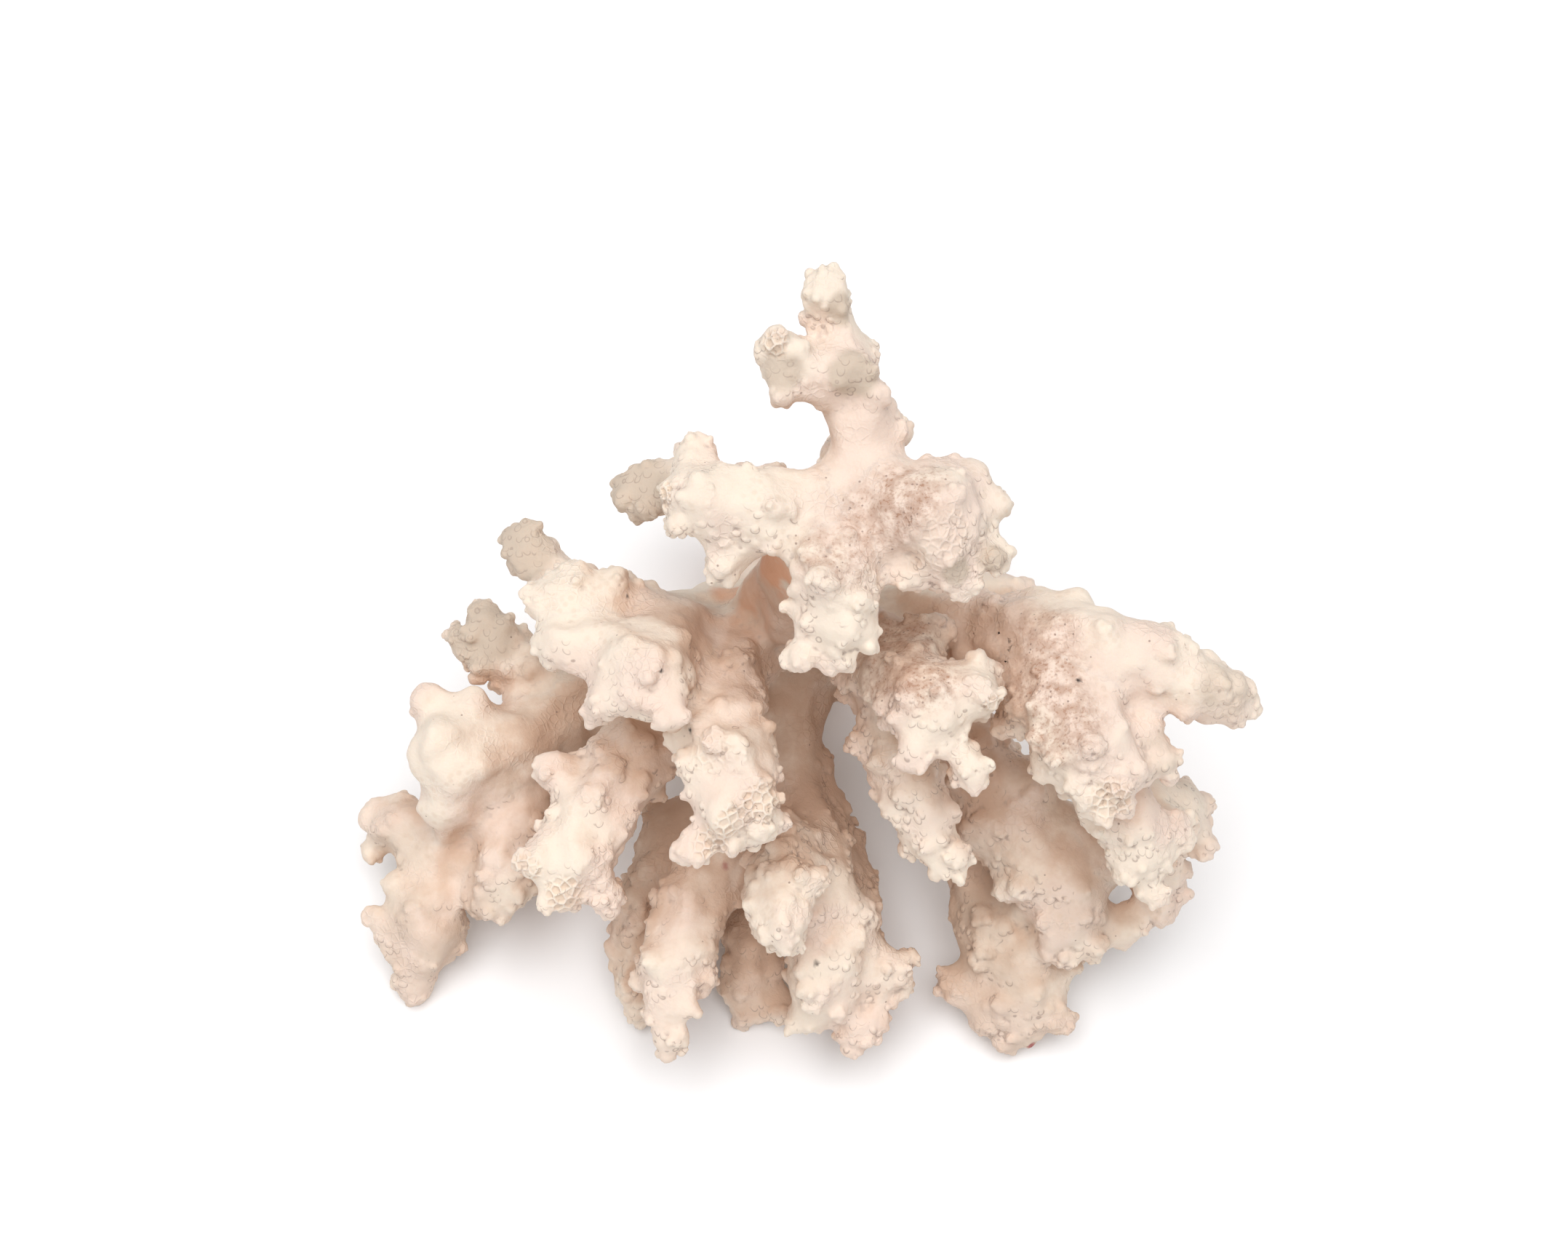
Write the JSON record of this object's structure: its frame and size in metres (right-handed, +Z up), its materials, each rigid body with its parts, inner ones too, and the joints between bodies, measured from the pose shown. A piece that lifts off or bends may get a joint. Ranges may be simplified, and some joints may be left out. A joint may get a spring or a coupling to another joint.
{
  "type": "branching coral skeleton",
  "caption": "Bleached skeleton of a branching cauliflower coral: stout warty branches with lobed ends fan out from a short leaning stock that is cut off flat to stand on",
  "frame": {"origin": "the middle of the flat cut that the coral stands on", "axes": "+Z is up, away from the cut; the branches lean towards -Y, the front; +X runs along the longest extent, to the right as seen from the front"},
  "size_m": [0.1338, 0.1018, 0.1068],
  "materials": {
    "bleached_skeleton": "matt, cream white and finely porous, with brown dust in the creases",
    "stained_skeleton": "matt, porous, stained warm ochre near the cut"
  },
  "bodies": {
    "root": {"base_stock": "stained_skeleton", "crown_stem": "bleached_skeleton", "crown_top_branch": "bleached_skeleton", "crown_left_branch": "bleached_skeleton", "crown_back_branch": "bleached_skeleton", "crown_right_branch": "bleached_skeleton", "crown_rear_branch": "bleached_skeleton", "crown_front_branch": "bleached_skeleton", "left_arm": "bleached_skeleton", "left_upper_branch": "bleached_skeleton", "left_bright_branch": "bleached_skeleton", "left_low_arm": "bleached_skeleton", "left_lower_branch": "bleached_skeleton", "left_back_branch": "bleached_skeleton", "left_outer_branch": "bleached_skeleton", "left_inner_branch": "bleached_skeleton", "left_far_branch": "bleached_skeleton", "left_front_branch": "bleached_skeleton", "centre_stem": "bleached_skeleton", "front_left_branch": "bleached_skeleton", "front_low_left_branch": "bleached_skeleton", "front_right_branch": "bleached_skeleton", "front_knob_branch": "bleached_skeleton", "front_low_branch": "bleached_skeleton", "front_side_branch": "bleached_skeleton", "right_arm": "bleached_skeleton", "right_back_branch": "bleached_skeleton", "right_inner_branch": "bleached_skeleton", "right_finger_branch": "bleached_skeleton", "right_outer_branch": "bleached_skeleton", "right_middle_branch": "bleached_skeleton", "right_lower_branch": "bleached_skeleton", "right_fan_branch": "bleached_skeleton", "right_far_branch": "bleached_skeleton", "right_far_low_branch": "bleached_skeleton", "right_floor_branch": "bleached_skeleton", "back_left_branch": "bleached_skeleton", "back_right_branch": "bleached_skeleton", "back_upper_branch": "bleached_skeleton"}
  },
  "joints": []
}
